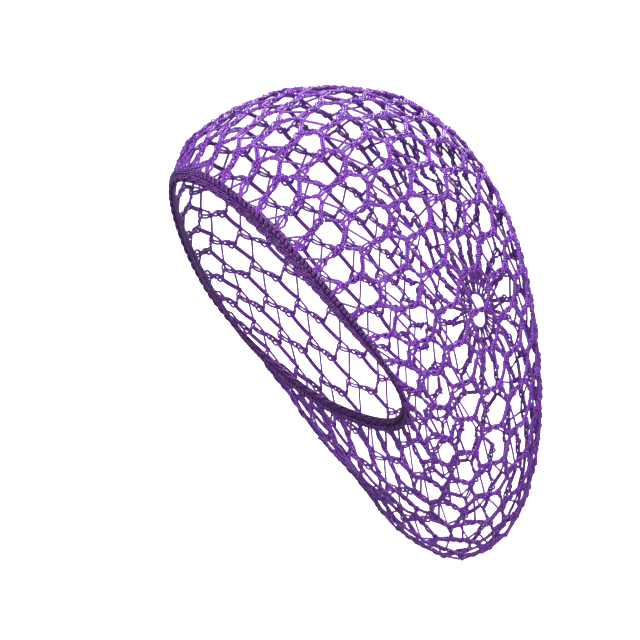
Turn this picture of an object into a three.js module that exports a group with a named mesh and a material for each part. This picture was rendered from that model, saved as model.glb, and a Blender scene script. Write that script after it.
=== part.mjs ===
import * as THREE from "three";

// A crochet hair snood in the shape that it has when worn, in millimetres.
// X runs across the head, -Y points to the face and +Z is up.
// The origin is the middle of the head opening, where the band sits.

// Overall sizes of the worn bag
const BAG_WIDTH = 188;
const BAG_DEPTH = 250;
const BAG_HEIGHT = 334;

// Net, its gaps and its thickness
const NET_THICKNESS = 3;
const NET_COLUMNS = 20;
const NET_ROUNDS = 6;
const KNOT_ADVANCE_SHARE = 0.76;
const KNOT_LEAN_SHARE = 0.32;
const GAP_SHARE = 0.72;
const NET_END_SHARE = 0.935;
const COLUMN_START_SHARE = 0.5;

// Edge band: a row of single crochet, then a chain along the skin
const CROCHET_WIDTH = 5.4;
const CROCHET_THICKNESS = 3.2;
const CHAIN_WIDTH = 3.4;
const CHAIN_THICKNESS = 3.4;

// Closing ring where the last round is drawn together
const CLOSING_WIDTH = 10;
const CLOSING_THICKNESS = 3;

const CLEARANCE = 0.4;
const SQUARENESS_RATIO = 2.3;
const OUTLINE_STEPS = 240;
const FOOT_STEPS = 8;
const BAND_STEPS = NET_COLUMNS * FOOT_STEPS;

const YARN_VIOLET = 0x7a45c4;
const BAND_VIOLET = 0x6a38b4;

// One row for each cross-section from the band to the middle of the net.
// along: place between band (0) and middle of the net (1).
// topBack, lowBack: shares of the depth. topUp, lowUp: shares of the height.
// half: share of the width. taper: how much wider the top is. bulge: share of the depth.
const SECTIONS = [
  { along: 0.000, topBack: -0.262, topUp: 0.275, lowBack: 0.262, lowUp: -0.275, half: 0.415, taper: -0.25, bulge: 0.000 },
  { along: 0.091, topBack: -0.182, topUp: 0.332, lowBack: 0.334, lowUp: -0.415, half: 0.468, taper: 0.03, bulge: 0.040 },
  { along: 0.182, topBack: -0.054, topUp: 0.372, lowBack: 0.410, lowUp: -0.479, half: 0.489, taper: 0.13, bulge: 0.040 },
  { along: 0.273, topBack: 0.066, topUp: 0.396, lowBack: 0.474, lowUp: -0.556, half: 0.489, taper: 0.14, bulge: 0.060 },
  { along: 0.364, topBack: 0.198, topUp: 0.396, lowBack: 0.574, lowUp: -0.604, half: 0.473, taper: 0.12, bulge: 0.052 },
  { along: 0.455, topBack: 0.334, topUp: 0.378, lowBack: 0.674, lowUp: -0.589, half: 0.447, taper: 0.10, bulge: 0.032 },
  { along: 0.591, topBack: 0.486, topUp: 0.300, lowBack: 0.734, lowUp: -0.485, half: 0.378, taper: 0.06, bulge: 0.016 },
  { along: 0.727, topBack: 0.576, topUp: 0.188, lowBack: 0.730, lowUp: -0.359, half: 0.290, taper: 0.04, bulge: 0.012 },
  { along: 0.864, topBack: 0.644, topUp: 0.051, lowBack: 0.708, lowUp: -0.225, half: 0.172, taper: 0.02, bulge: 0.008 },
  { along: 1.000, topBack: 0.682, topUp: -0.086, lowBack: 0.682, lowUp: -0.086, half: 0.001, taper: 0.00, bulge: 0.000 },
];

const COLUMN_SIZES = {
  topBack: BAG_DEPTH,
  topUp: BAG_HEIGHT,
  lowBack: BAG_DEPTH,
  lowUp: BAG_HEIGHT,
  half: BAG_WIDTH,
  taper: 1,
  bulge: BAG_DEPTH,
};

// Slope of one column of the table at a row
function slopeAt(row, name) {
  const last = SECTIONS.length - 1;
  const rise = (a, b) => (SECTIONS[b][name] - SECTIONS[a][name]) / (SECTIONS[b].along - SECTIONS[a].along);
  if (row === 0) {
    return 2 * rise(0, 1) - slopeAt(1, name);
  }
  if (row === last) {
    return 2 * rise(last - 1, last) - slopeAt(last - 1, name);
  }
  const before = SECTIONS[row].along - SECTIONS[row - 1].along;
  const after = SECTIONS[row + 1].along - SECTIONS[row].along;
  return (rise(row, row + 1) * before + rise(row - 1, row) * after) / (before + after);
}

// The cross-section at any place between band and middle, as real sizes
function sectionAt(along) {
  let row = 0;
  while (row < SECTIONS.length - 2 && along > SECTIONS[row + 1].along) {
    row += 1;
  }
  const span = SECTIONS[row + 1].along - SECTIONS[row].along;
  const t = (along - SECTIONS[row].along) / span;
  const section = {};
  for (const [name, size] of Object.entries(COLUMN_SIZES)) {
    const start = SECTIONS[row][name] * (2 * t ** 3 - 3 * t ** 2 + 1);
    const leave = slopeAt(row, name) * span * (t ** 3 - 2 * t ** 2 + t);
    const end = SECTIONS[row + 1][name] * (3 * t ** 2 - 2 * t ** 3);
    const arrive = slopeAt(row + 1, name) * span * (t ** 3 - t ** 2);
    section[name] = size * (start + leave + end + arrive);
  }
  return section;
}

// One round of the bag as a closed outline that starts over the forehead
function outlineAt(along) {
  const section = sectionAt(along);
  const middleY = (section.topBack + section.lowBack) / 2;
  const middleZ = (section.topUp + section.lowUp) / 2;
  const reachY = (section.topBack - section.lowBack) / 2;
  const reachZ = (section.topUp - section.lowUp) / 2;
  const reach = Math.hypot(reachY, reachZ) || 1;
  const power = (value) => Math.sign(value) * Math.abs(value) ** (2 / SQUARENESS_RATIO);
  const points = [];
  for (let k = 0; k <= OUTLINE_STEPS; k += 1) {
    const turn = (k / OUTLINE_STEPS) * 2 * Math.PI;
    const up = power(Math.cos(turn));
    const side = power(Math.sin(turn));
    const bulge = section.bulge * (1 - up ** 2);
    points.push(new THREE.Vector3(
      side * section.half * (1 + section.taper * up),
      middleY + up * reachY + (reachZ / reach) * bulge,
      middleZ + up * reachZ - (reachY / reach) * bulge,
    ));
  }
  const lengths = [0];
  for (let k = 1; k <= OUTLINE_STEPS; k += 1) {
    lengths.push(lengths[k - 1] + points[k].distanceTo(points[k - 1]));
  }
  return { points, lengths };
}

const outlines = new Map();

// A point of the bag's surface. turn 0 is over the forehead, 0.25 on the wearer's left.
function surfacePoint(along, turn) {
  if (!outlines.has(along)) {
    outlines.set(along, outlineAt(along));
  }
  const { points, lengths } = outlines.get(along);
  const wanted = (turn - Math.floor(turn)) * lengths[OUTLINE_STEPS];
  let k = 1;
  while (k < OUTLINE_STEPS && lengths[k] < wanted) {
    k += 1;
  }
  const share = (wanted - lengths[k - 1]) / (lengths[k] - lengths[k - 1]);
  return points[k - 1].clone().lerp(points[k], share);
}

// The surface's own directions: inward along the net, and outward from it
function surfaceFrame(along, turn) {
  const step = 0.004;
  const point = surfacePoint(along, turn);
  const inward = surfacePoint(along + step, turn).sub(surfacePoint(Math.max(along - step, 0), turn));
  const round = surfacePoint(along, turn + step).sub(surfacePoint(along, turn - step));
  const outward = new THREE.Vector3().crossVectors(inward, round).normalize();
  inward.normalize();
  return { point, inward, outward };
}

// Points on the outer and the inner skin of the net
function skinPair(place, thickness) {
  const { point, outward } = surfaceFrame(place.along, place.turn);
  return {
    outer: point.clone().addScaledVector(outward, thickness / 2),
    inner: point.clone().addScaledVector(outward, -thickness / 2),
  };
}

// Collects triangles and makes a mesh of them
class Shell {
  constructor() {
    this.positions = [];
  }

  face(...corners) {
    for (let k = 1; k < corners.length - 1; k += 1) {
      for (const corner of [corners[0], corners[k], corners[k + 1]]) {
        this.positions.push(corner.x, corner.y, corner.z);
      }
    }
  }

  mesh(name, color) {
    const geometry = new THREE.BufferGeometry();
    geometry.setAttribute("position", new THREE.Float32BufferAttribute(this.positions, 3));
    geometry.computeVertexNormals();
    const material = new THREE.MeshStandardMaterial({ color, roughness: 0.6, metalness: 0 });
    const mesh = new THREE.Mesh(geometry, material);
    mesh.name = name;
    return mesh;
  }
}

// The corners of one gap of the net, in rounds and columns.
// Each gap is a leaning hexagon; the first and last rounds end on a straight edge.
function gapCorners(round, column) {
  const first = round === 0;
  const last = round === NET_ROUNDS - 1;
  const corners = [[round, column], [round + KNOT_ADVANCE_SHARE, column - KNOT_LEAN_SHARE]];
  if (!last) {
    corners.push([round + 1, column]);
  }
  corners.push([round + KNOT_ADVANCE_SHARE, column + 1 - KNOT_LEAN_SHARE], [round, column + 1]);
  if (first) {
    for (let k = FOOT_STEPS - 1; k >= 1; k -= 1) {
      corners.push([round, column + k / FOOT_STEPS]);
    }
  } else {
    corners.push([round - 1 + KNOT_ADVANCE_SHARE, column + 1 - KNOT_LEAN_SHARE]);
  }
  return corners;
}

// From rounds and columns to a place on the bag
function netPlace([round, column]) {
  const along = (round / (NET_ROUNDS - 1 + KNOT_ADVANCE_SHARE)) * NET_END_SHARE;
  return { along: Math.round(along * 1e9) / 1e9, turn: (column + COLUMN_START_SHARE) / NET_COLUMNS };
}

// A name for a corner, the same for each gap that shares it
function cornerKey([round, column]) {
  const wrapped = ((column % NET_COLUMNS) + NET_COLUMNS) % NET_COLUMNS;
  return `${round.toFixed(4)}/${(wrapped > NET_COLUMNS - 1e-6 ? 0 : wrapped).toFixed(4)}`;
}

// The net: a shell cut through by its gaps, so that only its bars and knots are left
function buildNet() {
  const shell = new Shell();
  const edges = new Map();
  const knots = new Map();
  for (let round = 0; round < NET_ROUNDS; round += 1) {
    for (let column = 0; column < NET_COLUMNS; column += 1) {
      const corners = gapCorners(round, column);
      const middle = [0, 1].map((axis) => corners.reduce((sum, c) => sum + c[axis], 0) / corners.length);
      const rim = corners.map((c) => c.map((value, axis) => middle[axis] + (value - middle[axis]) * GAP_SHARE));
      const pairs = rim.map((place) => skinPair(netPlace(place), NET_THICKNESS));
      for (let k = 0; k < corners.length; k += 1) {
        const next = (k + 1) % corners.length;
        const here = pairs[k];
        const there = pairs[next];
        shell.face(here.outer, there.outer, there.inner, here.inner);
        edges.set(`${cornerKey(corners[k])}>${cornerKey(corners[next])}`, {
          from: corners[k], to: corners[next], here, there,
        });
      }
    }
  }
  // Bars: the skins between the rims of two gaps, or between a rim and the net's edge
  for (const [key, edge] of edges) {
    const [start, end] = key.split(">");
    const opposite = edges.get(`${end}>${start}`);
    if (opposite && start < end) {
      shell.face(edge.here.outer, opposite.there.outer, opposite.here.outer, edge.there.outer);
      shell.face(edge.here.inner, edge.there.inner, opposite.here.inner, opposite.there.inner);
    }
    if (!opposite) {
      const a = skinPair(netPlace(edge.from), NET_THICKNESS);
      const b = skinPair(netPlace(edge.to), NET_THICKNESS);
      shell.face(edge.here.outer, a.outer, b.outer, edge.there.outer);
      shell.face(edge.here.inner, edge.there.inner, b.inner, a.inner);
      shell.face(a.outer, a.inner, b.inner, b.outer);
    }
    // Knots: the small skins left between the bars that meet at a corner
    const leaving = knots.get(start) || [];
    leaving.push({ end, corner: edge.here, edge });
    knots.set(start, leaving);
  }
  for (const [start, leaving] of knots) {
    closeKnot(shell, start, leaving, edges);
  }
  return shell.mesh("net", YARN_VIOLET);
}

// Joins the rims that meet at one corner of the net, in order round the corner
function closeKnot(shell, start, leaving, edges) {
  const arriving = [...edges.entries()].filter(([key]) => key.endsWith(`>${start}`));
  const cornerAfter = new Map();
  for (const { end, corner } of leaving) {
    cornerAfter.set(end, corner);
  }
  const cornerBefore = new Map();
  for (const [key, edge] of arriving) {
    cornerBefore.set(key.split(">")[0], edge.there);
  }
  const open = [...cornerAfter.keys()].filter((end) => !cornerBefore.has(end));
  const order = [];
  let end = open.length ? open[0] : [...cornerAfter.keys()][0];
  while (end !== undefined && cornerAfter.has(end) && order.length < leaving.length) {
    const corner = cornerAfter.get(end);
    order.push(corner);
    end = [...cornerBefore.keys()].find((key) => cornerBefore.get(key) === corner);
  }
  if (open.length) {
    const edge = leaving.find((item) => item.end === open[0]).edge;
    order.push(skinPair(netPlace(edge.from), NET_THICKNESS));
  }
  if (order.length >= 3) {
    const outer = order.map((pair) => pair.outer);
    const inner = order.map((pair) => pair.inner);
    shell.face(...outer);
    shell.face(...inner.reverse());
  }
}

// A closed band beside an edge of the net. Its section is rounded at the corners.
// near and far are distances from the edge, along the surface.
function buildBand({ name, along, start, steps, near, far, thickness, direction, color }) {
  const shell = new Shell();
  const bevel = Math.min(far - near, thickness) * 0.3;
  const profile = [
    [near + bevel, thickness / 2], [far - bevel, thickness / 2],
    [far, thickness / 2 - bevel], [far, bevel - thickness / 2],
    [far - bevel, -thickness / 2], [near + bevel, -thickness / 2],
    [near, bevel - thickness / 2], [near, thickness / 2 - bevel],
  ];
  const rings = [];
  for (let k = 0; k < steps; k += 1) {
    const frame = surfaceFrame(along, start + k / steps);
    rings.push(profile.map(([across, lift]) => frame.point.clone()
      .addScaledVector(frame.inward, across * direction)
      .addScaledVector(frame.outward, lift)));
  }
  for (let k = 0; k < steps; k += 1) {
    const ring = rings[k];
    const next = rings[(k + 1) % steps];
    for (let m = 0; m < profile.length; m += 1) {
      const n = (m + 1) % profile.length;
      const corners = [ring[m], next[m], next[n], ring[n]];
      if (direction > 0) {
        corners.reverse();
      }
      shell.face(...corners);
    }
  }
  return shell.mesh(name, color);
}

const crochetStart = CLEARANCE;
const crochetEnd = crochetStart + CROCHET_WIDTH;
const chainStart = crochetEnd + CLEARANCE;
const chainEnd = chainStart + CHAIN_WIDTH;

const snood = new THREE.Group();
snood.add(buildNet());
snood.add(buildBand({
  name: "crochet_band",
  along: 0,
  start: COLUMN_START_SHARE / NET_COLUMNS,
  steps: BAND_STEPS,
  near: crochetStart,
  far: crochetEnd,
  thickness: CROCHET_THICKNESS,
  direction: -1,
  color: BAND_VIOLET,
}));
snood.add(buildBand({
  name: "edge_chain",
  along: 0,
  start: COLUMN_START_SHARE / NET_COLUMNS,
  steps: BAND_STEPS,
  near: chainStart,
  far: chainEnd,
  thickness: CHAIN_THICKNESS,
  direction: -1,
  color: BAND_VIOLET,
}));
snood.add(buildBand({
  name: "closing_ring",
  along: NET_END_SHARE,
  start: (COLUMN_START_SHARE - KNOT_LEAN_SHARE) / NET_COLUMNS,
  steps: NET_COLUMNS,
  near: CLEARANCE,
  far: CLEARANCE + CLOSING_WIDTH,
  thickness: CLOSING_THICKNESS,
  direction: 1,
  color: BAND_VIOLET,
}));

export default snood;
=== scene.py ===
import math
import random

import bmesh
import bpy
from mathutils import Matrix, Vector


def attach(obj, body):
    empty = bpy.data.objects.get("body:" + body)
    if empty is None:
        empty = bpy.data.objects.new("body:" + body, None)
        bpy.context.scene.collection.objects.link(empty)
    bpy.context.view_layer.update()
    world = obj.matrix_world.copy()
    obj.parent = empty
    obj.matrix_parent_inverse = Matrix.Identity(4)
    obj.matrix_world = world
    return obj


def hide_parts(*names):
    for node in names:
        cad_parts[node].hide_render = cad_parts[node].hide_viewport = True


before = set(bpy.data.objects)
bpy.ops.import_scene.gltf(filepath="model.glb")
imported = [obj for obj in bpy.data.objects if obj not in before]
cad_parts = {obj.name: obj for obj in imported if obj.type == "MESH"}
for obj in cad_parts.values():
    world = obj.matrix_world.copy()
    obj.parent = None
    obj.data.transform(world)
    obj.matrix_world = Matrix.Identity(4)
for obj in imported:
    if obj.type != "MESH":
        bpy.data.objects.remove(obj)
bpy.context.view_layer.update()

mm = 0.001


# The bag's form, as in the part: a row for each cross-section from band to middle.
# along, then shares of depth and height for its top and low points, half width, taper, bulge
bag = {
    "width": 188 * mm, "depth": 250 * mm, "height": 334 * mm,
    "squareness": 2.3, "outlineSteps": 240, "frameStep": 0.004,
    "sections": [
        (0.000, -0.262, 0.275, 0.262, -0.275, 0.415, -0.25, 0.000),
        (0.091, -0.182, 0.332, 0.334, -0.415, 0.468, 0.03, 0.040),
        (0.182, -0.054, 0.372, 0.410, -0.479, 0.489, 0.13, 0.040),
        (0.273, 0.066, 0.396, 0.474, -0.556, 0.489, 0.14, 0.060),
        (0.364, 0.198, 0.396, 0.574, -0.604, 0.473, 0.12, 0.052),
        (0.455, 0.334, 0.378, 0.674, -0.589, 0.447, 0.10, 0.032),
        (0.591, 0.486, 0.300, 0.734, -0.485, 0.378, 0.06, 0.016),
        (0.727, 0.576, 0.188, 0.730, -0.359, 0.290, 0.04, 0.012),
        (0.864, 0.644, 0.051, 0.708, -0.225, 0.172, 0.02, 0.008),
        (1.000, 0.682, -0.086, 0.682, -0.086, 0.001, 0.00, 0.000),
    ],
}


def slopeAt(row, column):
    table = bag["sections"]
    last = len(table) - 1

    def rise(a, b):
        return (table[b][column] - table[a][column]) / (table[b][0] - table[a][0])

    if row == 0:
        return 2 * rise(0, 1) - slopeAt(1, column)
    if row == last:
        return 2 * rise(last - 1, last) - slopeAt(last - 1, column)
    before = table[row][0] - table[row - 1][0]
    after = table[row + 1][0] - table[row][0]
    return (rise(row, row + 1) * before + rise(row - 1, row) * after) / (before + after)


def sectionAt(along):
    table = bag["sections"]
    row = 0
    while row < len(table) - 2 and along > table[row + 1][0]:
        row += 1
    span = table[row + 1][0] - table[row][0]
    t = (along - table[row][0]) / span
    values = []
    for column in range(1, len(table[0])):
        start = table[row][column] * (2 * t ** 3 - 3 * t ** 2 + 1)
        leave = slopeAt(row, column) * span * (t ** 3 - 2 * t ** 2 + t)
        end = table[row + 1][column] * (3 * t ** 2 - 2 * t ** 3)
        arrive = slopeAt(row + 1, column) * span * (t ** 3 - t ** 2)
        values.append(start + leave + end + arrive)
    return values


def outlineAt(along):
    # One cross-section as points, with the length round it up to each
    topBack, topUp, lowBack, lowUp, half, taper, bulge = sectionAt(along)
    depth, height = bag["depth"], bag["height"]
    middleY, middleZ = (topBack + lowBack) / 2 * depth, (topUp + lowUp) / 2 * height
    reachY, reachZ = (topBack - lowBack) / 2 * depth, (topUp - lowUp) / 2 * height
    reach = math.hypot(reachY, reachZ) or 1

    def rounded(value):
        return math.copysign(abs(value) ** (2 / bag["squareness"]), value)

    points = []
    for k in range(bag["outlineSteps"] + 1):
        turn = 2 * math.pi * k / bag["outlineSteps"]
        up, side = rounded(math.cos(turn)), rounded(math.sin(turn))
        out = bulge * depth * (1 - up ** 2)
        points.append(Vector((
            side * half * bag["width"] * (1 + taper * up),
            middleY + up * reachY + reachZ / reach * out,
            middleZ + up * reachZ - reachY / reach * out)))
    lengths = [0.0]
    for k in range(1, len(points)):
        lengths.append(lengths[-1] + (points[k] - points[k - 1]).length)
    return points, lengths


outlines = {}


def bagPoint(along, turn):
    key = round(along, 6)
    if key not in outlines:
        outlines[key] = outlineAt(key)
    points, lengths = outlines[key]
    wanted = (turn % 1.0) * lengths[-1]
    low, high = 0, len(lengths) - 1
    while high - low > 1:
        middle = (low + high) // 2
        if lengths[middle] <= wanted:
            low = middle
        else:
            high = middle
    share = (wanted - lengths[low]) / (lengths[high] - lengths[low])
    return points[low].lerp(points[high], share)


def bagFrame(along, turn):
    # Place on the bag, with the ways inward along the net, round it and out of it
    step = bag["frameStep"]
    place = bagPoint(along, turn)
    inward = bagPoint(along + step, turn) - bagPoint(max(along - step, 0), turn)
    onward = bagPoint(along, turn + step) - bagPoint(along, turn - step)
    outward = onward.cross(inward).normalized()
    inward.normalize()
    return place, inward, inward.cross(outward), outward


# Yarn as tubes: every path becomes one spline, and a mesh with a UV map in millimetres
yarn = {"radius": 0.80 * mm, "sides": 6}  # sides is even, and 4 or more


def yarnPiece(name, paths, node, material, steps):
    curve = bpy.data.curves.new(name, "CURVE")
    curve.dimensions = "3D"
    curve.bevel_depth = yarn["radius"]
    curve.bevel_resolution = (yarn["sides"] - 4) // 2
    curve.resolution_u = steps
    lengths = []
    counts = []
    for path in paths:
        spline = curve.splines.new("BEZIER")
        spline.bezier_points.add(len(path) - 1)
        for point, place in zip(spline.bezier_points, path):
            point.co = place
            point.handle_left_type = "AUTO"
            point.handle_right_type = "AUTO"
        lengths.append(sum((b - a).length for a, b in zip(path, path[1:])))
        counts.append(((len(path) - 1) * steps + 1) * yarn["sides"])
    holder = bpy.data.objects.new(name + "_curve", curve)
    bpy.context.collection.objects.link(holder)
    depsgraph = bpy.context.evaluated_depsgraph_get()
    mesh = bpy.data.meshes.new_from_object(holder.evaluated_get(depsgraph))
    mesh.name = name
    bpy.data.objects.remove(holder)
    assert len(mesh.vertices) == sum(counts), (name, len(mesh.vertices), sum(counts))

    # Stretch the map of each tube to its own length
    owner = []
    for index, count in enumerate(counts):
        owner.extend([index] * count)
    uvs = mesh.uv_layers[0].data
    for loop in mesh.loops:
        along, turn = uvs[loop.index].uv
        uvs[loop.index].uv = (turn, along * lengths[owner[loop.vertex_index]] / mm)

    # Close the tube ends
    shape = bmesh.new()
    shape.from_mesh(mesh)
    rims = [edge for edge in shape.edges if edge.is_boundary]
    bmesh.ops.holes_fill(shape, edges=rims, sides=yarn["sides"])
    bmesh.ops.recalc_face_normals(shape, faces=shape.faces)
    for face in shape.faces:
        face.smooth = True
    shape.to_mesh(mesh)
    shape.free()
    mesh.materials.clear()
    mesh.materials.append(material)
    piece = bpy.data.objects.new(name, mesh)
    bpy.context.collection.objects.link(piece)
    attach(piece, "root")
    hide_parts(node)
    print(name, "strands", len(paths), "triangles", sum(len(p.vertices) - 2 for p in mesh.polygons))


# Yarn material: a twist from the map, with painted shade near black in its grooves, a painted highlight on
# its crests, and painted shade where strands meet
def yarnMaterial(name, look):
    material = bpy.data.materials.new(name)
    material.use_nodes = True
    nodes, links = material.node_tree.nodes, material.node_tree.links
    nodes.clear()

    def node(kind, **values):
        made = nodes.new(kind)
        for key, value in values.items():
            setattr(made, key, value)
        return made

    def maths(operation, first, second=None):
        made = node("ShaderNodeMath", operation=operation)
        for socket, value in zip(made.inputs, (first, second)):
            if value is None:
                continue
            if isinstance(value, (int, float)):
                socket.default_value = value
            else:
                links.new(value, socket)
        return made.outputs[0]

    output = node("ShaderNodeOutputMaterial")
    shader = node("ShaderNodeBsdfPrincipled")
    links.new(shader.outputs[0], output.inputs["Surface"])
    shader.inputs["Roughness"].default_value = look["roughness"]
    shader.inputs["Sheen Weight"].default_value = look["sheen"]
    shader.inputs["Sheen Roughness"].default_value = look["sheenRoughness"]
    shader.inputs["Sheen Tint"].default_value = (*look["sheenTint"], 1)
    shader.inputs["Specular IOR Level"].default_value = look["specular"]
    shader.inputs["Specular Tint"].default_value = (*look["specularTint"], 1)

    uvMap = node("ShaderNodeUVMap", uv_map="UVMap")
    parts = node("ShaderNodeSeparateXYZ")
    links.new(uvMap.outputs[0], parts.inputs[0])
    twist = maths("ADD", maths("MULTIPLY", parts.outputs[0], look["plies"]),
                  maths("DIVIDE", parts.outputs[1], look["pitch"]))
    ridge = maths("ABSOLUTE", maths("SINE", maths("MULTIPLY", twist, math.pi)))

    # Painted shade and highlight by the twist: near black in the grooves, the yarn's own violet on the
    # plies, a lighter painted highlight on the crests
    tone = node("ShaderNodeValToRGB")
    links.new(ridge, tone.inputs[0])
    tone.color_ramp.elements[0].position = look["grooveEnd"]
    tone.color_ramp.elements[0].color = (*look["paintedGrooveShade"], 1)
    tone.color_ramp.elements[1].position = look["plyPlace"]
    tone.color_ramp.elements[1].color = (*look["ply"], 1)
    paintedCrestHighlight = tone.color_ramp.elements.new(1.0)
    paintedCrestHighlight.color = (*look["paintedCrestHighlight"], 1)

    place = node("ShaderNodeTexCoord")
    patches = node("ShaderNodeTexNoise")
    patches.inputs["Scale"].default_value = look["patchScale"]
    patches.inputs["Detail"].default_value = look["patchDetail"]
    links.new(place.outputs["Object"], patches.inputs["Vector"])
    shade = node("ShaderNodeMapRange")
    shade.inputs["To Min"].default_value = 1 - look["patchDepth"]
    shade.inputs["To Max"].default_value = 1 + look["patchDepth"]
    links.new(patches.outputs[0], shade.inputs["Value"])
    # Painted shade: the base colour darkens where strands meet, by ambient occlusion within the crevice
    # reach
    occlusionShade = node("ShaderNodeAmbientOcclusion", samples=look["creviceSamples"])
    occlusionShade.inputs["Distance"].default_value = look["creviceReach"]
    depth = node("ShaderNodeMapRange")
    depth.inputs["From Min"].default_value = look["creviceDeep"]
    depth.inputs["From Max"].default_value = look["creviceOpen"]
    depth.inputs["To Min"].default_value = look["creviceShade"]
    links.new(occlusionShade.outputs["AO"], depth.inputs["Value"])
    # Colour: the twist's tone, scaled by random patches of tone and by the painted crevice shade
    colour = node("ShaderNodeVectorMath", operation="SCALE")
    links.new(tone.outputs[0], colour.inputs[0])
    links.new(maths("MULTIPLY", shade.outputs[0], depth.outputs[0]), colour.inputs["Scale"])
    links.new(colour.outputs[0], shader.inputs["Base Color"])

    bump = node("ShaderNodeBump")
    bump.inputs["Strength"].default_value = look["bump"]
    bump.inputs["Distance"].default_value = look["bumpDepth"]
    links.new(ridge, bump.inputs["Height"])
    links.new(bump.outputs[0], shader.inputs["Normal"])
    return material


netLook = {
    # The groove and crest colours are painted shade and painted highlight; the ply colour is the yarn's own
    "paintedCrestHighlight": (0.28, 0.070, 0.54), "ply": (0.080, 0.009, 0.225), "paintedGrooveShade": (0.008, 0.001, 0.030),
    "grooveEnd": 0.12, "plyPlace": 0.70,
    # Painted shade where strands meet, from ambient occlusion
    "creviceReach": 2.2 * mm, "creviceShade": 0.30, "creviceSamples": 4,
    "creviceDeep": 0.15, "creviceOpen": 0.75,  # openness at which the shade is full, and gone
    "roughness": 0.30, "specular": 0.6, "specularTint": (0.85, 0.62, 1.0),
    "sheen": 0.04, "sheenRoughness": 0.4, "sheenTint": (0.6, 0.3, 1.0), "plies": 1, "pitch": 1.25,
    "patchScale": 60, "patchDetail": 3, "patchDepth": 0.20, "bump": 1.0, "bumpDepth": 0.30 * mm,
}
# The band's yarn: the net's look with its colours darkened to about half, painted shade for the dark
# crevices of its dense crochet
bandShadedLook = dict(netLook, paintedCrestHighlight=(0.125, 0.029, 0.215), ply=(0.034, 0.004, 0.084))
netYarn = yarnMaterial("net_yarn", netLook)
bandShadedYarn = yarnMaterial("band_yarn", bandShadedLook)


# The lattice of the net: a chain bar leans back from each foot to its knot, and from
# the knot a link goes on to the next round's foot and a post to the foot beside that one.
net = {
    "columns": 36, "fewColumns": 18, "fullRounds": 8, "fewRounds": 2, "roundsToMiddle": 11,
    "knotAdvance": 0.76, "knotLean": 0.32, "sway": 0.9 * mm, "seed": 7,
    "bunch": (0.0275, 0.0074),  # columns lie closer over the forehead than at the nape
    # Columns slip down the sides, in each round by a share of a column
    "slide": (0.0, 0.38, 0.8, 0.68, 0.42, 0.38, 0.28, 0.10, 0.0, 0.0, 0.0, 0.0), "slideCurve": 2.4,
    "barSizes": (1.02, 1.20), "slip": 0.012, "bandFoot": 0.12, "bandPinch": 0.5,
    # Where strands leave a chain bar or reach one: share of its length, mm across and mm of lift
    "linkLeaves": (1.02, 1.2, 0.1), "postLeaves": (0.97, -1.3, 0.0),
    "nearFoot": (-0.03, -1.6, 0.0), "farFoot": (-0.05, 3.0, 0.0), "joinedFoot": (-0.03, 3.0, 0.0),
    "threadLeaves": (-0.02, 2.6, 0.3), "threadLands": (0.40, -0.6, 0.3),
    "linkSizes": (1.04, 1.18), "linkSag": (-0.3, 0.5), "linkStray": (-0.5, 0.5),
    "threadSag": (-0.2, 0.6), "threadBends": (0.3, 0.65), "threadOnBand": 0.45, "threadUnder": 1.5 * mm,
    "steps": 2, "turnSteps": 3,  # curve steps between two points of a strand
}
closing = {
    "along": 0.935, "stitches": 18, "from": 0.4, "to": 10.4, "spread": 0.22,
    "stitch": [(-0.02, -0.4), (0.20, 0.7), (0.60, 0.8), (0.92, 0.5), (1.0, -0.5)],
    "laid": [(1.4, -0.5), (2.0, 1.2), (9.4, -0.4), (9.8, 0.9)], "laidPoints": 60,
    "netEnds": (0.24, -1.24), "netEndDepth": 0.8 * mm,  # where the last round's links and posts end
    "steps": 3,
}
chance = random.Random(net["seed"])
rounds = net["fullRounds"] + net["fewRounds"]


def countOf(i):
    return net["fewColumns"] if i >= net["fullRounds"] else net["columns"]


def columnOf(i, j):
    # Column of a foot, in columns of the full rounds; after the decrease one foot stands for two
    return 2 * j + 0.5 if i >= net["fullRounds"] else j


def turnOf(level, column):
    # Turn round the bag at which a column lies; level counts rounds, and both may be fractions
    share = column / net["columns"]
    turn = share - sum(amount * math.sin(2 * math.pi * (k + 1) * share)
                       for k, amount in enumerate(net["bunch"]))
    low = int(level)
    slide = net["slide"][low] + (net["slide"][low + 1] - net["slide"][low]) * (level - low)
    signed = (turn + 0.5) % 1 - 0.5
    shift = slide / net["columns"] * math.sin(math.pi * (2 * abs(signed)) ** net["slideCurve"])
    return turn + math.copysign(shift, signed)


def swayedPlace(level, column, sway):
    place, inward, onward, outward = bagFrame(level / net["roundsToMiddle"], turnOf(level, column))
    return place + inward * chance.uniform(-sway, sway) + onward * chance.uniform(-sway, sway), outward


class Bar:
    # One chain bar from its foot to its knot, with its own directions
    def __init__(self, i, j):
        column = columnOf(i, j)
        self.onBand = i == 0
        self.foot, footOut = swayedPlace(i, column, 0 if self.onBand else net["sway"])
        lean = net["knotLean"] * net["columns"] / countOf(i)
        self.knot, knotOut = swayedPlace(i + net["knotAdvance"], column - lean, net["sway"])
        self.way = self.knot - self.foot
        self.outward = (footOut + knotOut).normalized()
        self.side = self.way.cross(self.outward).normalized()
        self.size = chance.uniform(*net["barSizes"])

    def point(self, share, across, lift):
        # share of the bar's length; across is towards the next column, in mm; lift is outward
        if self.onBand and share < net["bandFoot"]:
            across *= net["bandPinch"]
        return (self.foot + self.way * share + self.side * (across * self.size * mm)
                + self.outward * (lift * mm))

    def strand(self, table):
        slip = chance.uniform(-net["slip"], net["slip"])
        return [self.point(share + slip, across, lift) for share, across, lift in table]


chainBars = {(i, j): Bar(i, j) for i in range(rounds) for j in range(countOf(i))}
print("lattice", len(chainBars), "chain bars")

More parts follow.
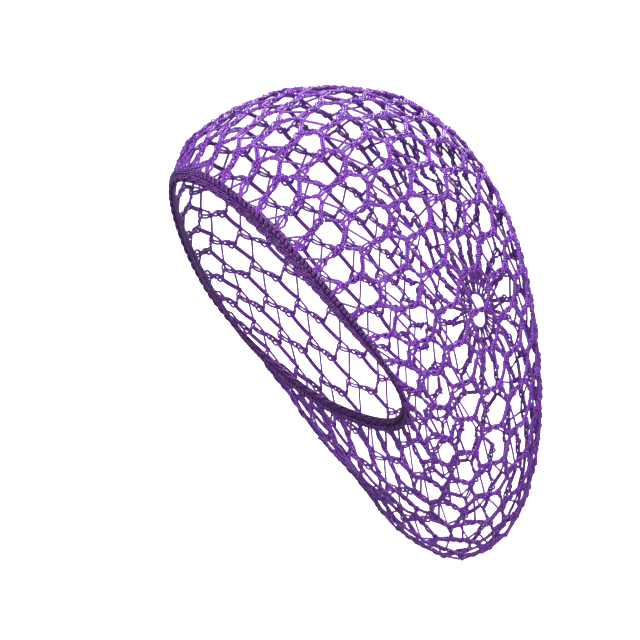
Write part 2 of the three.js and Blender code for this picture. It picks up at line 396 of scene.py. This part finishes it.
# Strands of a chain bar: share of its length, across and lift in mm
barLegs = [
    [(-0.03, -1.0, -0.3), (0.06, -1.6, 0.3), (0.17, -2.0, 0.5), (0.33, -1.8, 0.6), (0.45, -0.9, 1.0),
     (0.56, 0.5, 1.0), (0.67, 1.3, 0.4), (0.82, 0.9, 0.2), (1.01, 0.5, -0.2)],
    [(0.00, 2.3, -0.4), (0.05, 2.7, 0.2), (0.14, 2.3, 0.4), (0.24, 1.5, 0.2), (0.34, 0.6, -0.1),
     (0.45, -0.6, -0.3), (0.57, -1.5, 0.1), (0.70, -1.4, 0.5), (0.85, -0.6, 0.3), (1.01, -0.7, -0.1)],
    [(-0.01, 0.0, 0.3), (0.10, -0.2, 0.6), (0.22, -0.4, 0.5), (0.35, -0.3, 0.1), (0.50, 0.5, -0.8),
     (0.70, 0.1, -0.7), (1.00, 0.0, -0.4)],
]
barTurns = [
    [(0.24, 1.5, 0.1), (0.30, 1.6, 0.7), (0.35, 0.8, 1.2), (0.41, -0.6, 1.4), (0.46, -1.6, 0.8),
     (0.47, -0.8, 0.0)],
    [(0.57, 0.6, 0.5), (0.62, 1.1, 0.8), (0.69, -0.1, 1.5), (0.77, -1.5, 1.2), (0.85, -2.6, 0.7),
     (0.91, -2.7, 0.0), (0.91, -1.6, -0.4), (0.86, 0.1, -0.1)],
]
footWraps = [
    [(0.03, -1.4, 0.1), (-0.03, -1.7, 0.4), (-0.06, -0.2, 1.0), (-0.04, 1.4, 1.0), (-0.02, 2.6, 0.6),
     (0.05, 2.6, 0.1)],
    [(0.07, -1.6, 0.2), (0.03, -0.9, 0.3), (0.01, 0.8, 0.3), (-0.03, 2.2, 0.1), (-0.04, 2.9, 0.0)],
]
knotWraps = [
    [(0.88, 0.8, 0.1), (0.93, 1.1, 0.7), (0.98, -0.2, 1.1), (1.02, -1.3, 0.5), (1.00, -0.6, -0.1)],
    [(1.03, 1.0, 0.0), (1.07, 0.7, 0.6), (1.05, -0.7, 0.8), (0.99, -1.5, 0.3), (0.95, -1.0, -0.1)],
]
# Strands of a link or a post, from knot to foot
linkBar = [
    [(-0.04, -0.5, 0.4), (0.22, -0.60, 0.25), (0.50, -0.15, 0.55), (0.78, 0.55, 0.25), (1.06, 0.5, -0.3)],
    [(-0.04, 0.5, -0.2), (0.22, 0.60, 0.00), (0.50, 0.25, -0.50), (0.78, -0.50, 0.10), (1.06, -0.5, 0.3)],
]
postBar = [
    [(-0.05, -0.5, -0.1), (0.15, -0.68, 0.3), (0.50, -0.64, 0.4), (0.85, -0.68, 0.3), (1.08, -0.5, -0.4)],
    [(-0.05, 0.5, -0.1), (0.15, 0.68, 0.3), (0.50, 0.62, 0.3), (0.85, 0.70, 0.3), (1.08, 0.5, -0.4)],
]


def strandsBetween(start, end, outward, table):
    way = end - start
    side = way.cross(outward).normalized()
    sag = (outward * (chance.uniform(*net["linkSag"]) * mm)
           + side * (chance.uniform(*net["linkStray"]) * mm))
    size = chance.uniform(*net["linkSizes"])
    paths = []
    for strand in table:
        paths.append([start + way * share + side * (across * size * mm) + outward * (lift * mm)
                      + sag * math.sin(math.pi * min(max(share, 0), 1)) for share, across, lift in strand])
    return paths


def endsAhead(i, j):
    # Where the link and the post of a knot end; beside a decrease there is no post
    if i + 1 == rounds:
        ends = []
        for ahead in closing["netEnds"]:
            place, inward, onward, outward = bagFrame(closing["along"], turnOf(i, columnOf(i, j) + ahead))
            ends.append(place + inward * closing["netEndDepth"])
        return ends
    if countOf(i + 1) == countOf(i):
        beside = chainBars[i + 1, (j - 1) % countOf(i)]
        return chainBars[i + 1, j].point(*net["nearFoot"]), beside.point(*net["farFoot"])
    return chainBars[i + 1, j // 2].point(*net["nearFoot" if j % 2 == 0 else "joinedFoot"]), None


def threadAcross(i, j, bar):
    # A single strand from this foot to the middle of the next chain bar
    ahead = chainBars[i, (j + 1) % countOf(i)]
    landing = ahead.point(*net["threadLands"])
    if bar.onBand:
        place, inward, onward, outward = bagFrame(0.0, turnOf(0, j + net["threadOnBand"]))
        leave = place - inward * net["threadUnder"]
    else:
        leave = bar.point(*net["threadLeaves"])
    slack = ahead.outward * (chance.uniform(*net["threadSag"]) * mm)
    return [leave, *(leave.lerp(landing, share) + slack for share in net["threadBends"]), landing]


netPaths = {
    "net_bar_legs": [], "net_bar_turns": [], "net_feet": [], "net_knots": [],
    "net_links": [], "net_posts": [], "net_threads": [],
}
for (i, j), bar in chainBars.items():
    netPaths["net_bar_legs"] += [bar.strand(table) for table in barLegs]
    netPaths["net_bar_turns"] += [bar.strand(table) for table in barTurns]
    netPaths["net_feet"] += [bar.strand(table) for table in footWraps]
    netPaths["net_knots"] += [bar.strand(table) for table in knotWraps]
    linkStart, postStart = bar.point(*net["linkLeaves"]), bar.point(*net["postLeaves"])
    linkEnd, postEnd = endsAhead(i, j)
    netPaths["net_links"] += strandsBetween(linkStart, linkEnd, bar.outward, linkBar)
    if postEnd is not None:
        netPaths["net_posts"] += strandsBetween(postStart, postEnd, bar.outward, postBar)
    netPaths["net_threads"].append(threadAcross(i, j, bar))
for name, paths in netPaths.items():
    steps = net["turnSteps"] if name == "net_bar_turns" else net["steps"]
    yarnPiece(name, paths, "net", netYarn, steps)


# Edge band: a row of single crochet beside the net, then long chain loops along the skin.
# Places across the band and lifts are in mm
band = {
    "stitches": 180, "crochetFrom": 1.2, "crochetTo": 5.0, "leans": (-0.90, -0.65),
    "crochetLaid": [(5.5, 0.1), (1.6, -0.8), (2.8, -0.8), (4.0, -0.8), (1.4, -0.4)],
    "loops": 72, "loopMiddle": 7.6, "slant": 2.0, "slantSizes": (0.8, 1.15),
    "chainLaid": [(6.9, -0.9), (8.5, -0.9)], "laidPoints": 200,
    "crochetSteps": 2, "chainSteps": 3,
}
bandRound = outlineAt(0.0)[1][-1] / mm

# One stitch: share of the pitch, share across the row, lift
crochetStitch = [
    (-0.06, 1.00, -0.9), (-0.14, 0.84, 0.5), (-0.16, 0.50, 1.6), (-0.15, 0.16, 1.6), (0.00, -0.06, 1.0),
    (0.15, 0.12, 1.6), (0.16, 0.46, 1.7), (0.14, 0.80, 0.6), (0.06, 1.00, -0.9),
]
# One oval loop: share of the pitch, then across and lift in mm
chainLoop = [
    (0.34, -0.30, -0.6), (0.42, -0.70, 0.8), (0.56, -0.78, 1.3), (0.76, -0.70, 1.2), (0.96, -0.40, 0.8),
    (1.04, 0.00, 0.3), (0.96, 0.42, 0.7), (0.76, 0.72, 1.1), (0.50, 0.80, 1.2), (0.24, 0.72, 0.9),
    (0.04, 0.42, 0.3), (-0.04, 0.00, -0.4), (0.04, -0.42, 0.1), (0.24, -0.70, 0.8), (0.42, -0.30, -0.6),
]


def bandPlace(x, y, z):
    # x runs round the band, y across it away from the net and z outward, in mm
    place, inward, onward, outward = bagFrame(0.0, x / bandRound)
    return place - inward * (y * mm) + outward * (z * mm)


def crochetRow():
    pitch = bandRound / band["stitches"]
    near, wide = band["crochetFrom"], band["crochetTo"] - band["crochetFrom"]
    paths = []
    for k in range(band["stitches"]):
        start = (k + 0.5) * pitch
        lean = chance.uniform(*band["leans"])
        paths.append([bandPlace(start + (x + lean * (1 - y)) * pitch, near + y * wide, z)
                      for x, y, z in crochetStitch])
    return paths


def loopRow():
    # Long chain loops laid like a rope: the far end of each slants to the stitches
    pitch = bandRound / band["loops"]
    paths = []
    for k in range(band["loops"]):
        start = k * pitch
        slant = band["slant"] * chance.uniform(*band["slantSizes"])
        paths.append([bandPlace(start + x * pitch, band["loopMiddle"] + y - slant * (x - 0.5), z)
                      for x, y, z in chainLoop])
    return paths


def laidStrand(y, z):
    # A strand that runs all round, closed by a short overlap
    points = band["laidPoints"]
    return [bandPlace(bandRound * k / points, y, z) for k in range(points + 2)]


crochetPaths = crochetRow() + [laidStrand(y, z) for y, z in band["crochetLaid"]]
yarnPiece("band_crochet", crochetPaths, "crochet_band", bandShadedYarn, band["crochetSteps"])
loopPaths = loopRow() + [laidStrand(y, z) for y, z in band["chainLaid"]]
yarnPiece("band_chain", loopPaths, "edge_chain", bandShadedYarn, band["chainSteps"])


# Closing ring: the last stitches drawn together round a small hole
def closingStitches():
    paths = []
    for k in range(closing["stitches"]):
        for shift in (-closing["spread"], closing["spread"]):
            turn = (k + 0.5 + shift) / closing["stitches"]
            place, inward, onward, outward = bagFrame(closing["along"], turn)
            reach = closing["to"] - closing["from"]
            paths.append([place + inward * ((closing["from"] + share * reach) * mm) + outward * (lift * mm)
                          for share, lift in closing["stitch"]])
    for across, lift in closing["laid"]:
        ring = []
        for k in range(closing["laidPoints"] + 2):
            place, inward, onward, outward = bagFrame(closing["along"], k / closing["laidPoints"])
            ring.append(place + inward * (across * mm) + outward * (lift * mm))
        paths.append(ring)
    return paths


yarnPiece("closing_stitches", closingStitches(), "closing_ring", netYarn, closing["steps"])


# Camera at the photo's angle, framed as the photo is
view = {
    "azimuth": 52, "elevation": 13.5, "distance": 1150 * mm, "lens": 101.07, "sensor": 36,
    "aim": Vector((0, 17.5 * mm, -18.75 * mm)), "shiftX": 17 / 640, "shiftY": 8 / 640,
}


def makeCamera():
    azimuth, elevation = math.radians(view["azimuth"]), math.radians(view["elevation"])
    toCamera = Vector((math.sin(azimuth) * math.cos(elevation), -math.cos(azimuth) * math.cos(elevation),
                       math.sin(elevation)))
    data = bpy.data.cameras.new("camera")
    data.lens = view["lens"]
    data.sensor_width = view["sensor"]
    data.shift_x = view["shiftX"]
    data.shift_y = view["shiftY"]
    camera = bpy.data.objects.new("camera", data)
    camera.location = view["aim"] + toCamera * view["distance"]
    camera.rotation_euler = toCamera.to_track_quat("Z", "Y").to_euler()
    bpy.context.collection.objects.link(camera)
    bpy.context.scene.camera = camera


makeCamera()

# White studio: a glowing floor and backdrop for the camera alone, with soft lamps for the yarn.
# A lamp is a name, a place in metres, watts and a size in metres
studio = {
    "floor": -0.245, "size": 20.0, "backdropDetail": 4, "paint": (0.93, 0.93, 0.93), "roughness": 0.9,
    "glow": 0.9, "world": 0.40, "lampAim": (0, 0.04, -0.02),
    "lamps": [
        ("key", (0.7, -1.0, 1.5), 60, 0.5),
        ("fill", (1.7, -0.4, 0.1), 24, 0.7),
        ("rim", (-0.7, 1.3, 1.1), 45, 0.7),
    ],
}


def stagePiece(name, shape, material):
    mesh = bpy.data.meshes.new(name)
    shape.to_mesh(mesh)
    shape.free()
    mesh.materials.append(material)
    piece = bpy.data.objects.new(name, mesh)
    bpy.context.collection.objects.link(piece)
    piece.visible_diffuse = False  # the glow doesn't wash out the yarn
    piece.visible_glossy = False
    return piece


def makeStudio():
    material = bpy.data.materials.new("floor")
    material.use_nodes = True
    shader = material.node_tree.nodes["Principled BSDF"]
    shader.inputs["Base Color"].default_value = (*studio["paint"], 1)
    shader.inputs["Roughness"].default_value = studio["roughness"]
    shader.inputs["Emission Color"].default_value = (1, 1, 1, 1)
    shader.inputs["Emission Strength"].default_value = studio["glow"]

    shape = bmesh.new()
    bmesh.ops.create_grid(shape, x_segments=1, y_segments=1, size=studio["size"])
    bmesh.ops.translate(shape, verts=shape.verts, vec=(0, 0, studio["floor"]))
    stagePiece("floor", shape, material)

    shape = bmesh.new()
    bmesh.ops.create_icosphere(shape, subdivisions=studio["backdropDetail"], radius=studio["size"])
    bmesh.ops.reverse_faces(shape, faces=shape.faces)
    backdrop = stagePiece("backdrop", shape, material)
    backdrop.visible_shadow = False

    world = bpy.data.worlds.new("studio")
    bpy.context.scene.world = world
    world.use_nodes = True
    world.node_tree.nodes["Background"].inputs[0].default_value = (1, 1, 1, 1)
    world.node_tree.nodes["Background"].inputs[1].default_value = studio["world"]

    for name, place, power, size in studio["lamps"]:
        light = bpy.data.lights.new(name, "AREA")
        light.energy = power
        light.size = size
        lamp = bpy.data.objects.new(name, light)
        lamp.location = place
        lamp.rotation_euler = (Vector(place) - Vector(studio["lampAim"])).to_track_quat("Z", "Y").to_euler()
        bpy.context.collection.objects.link(lamp)


makeStudio()
bpy.context.scene.view_settings.view_transform = "Standard"  # keeps the violet as strong as it is
print("studio ready")
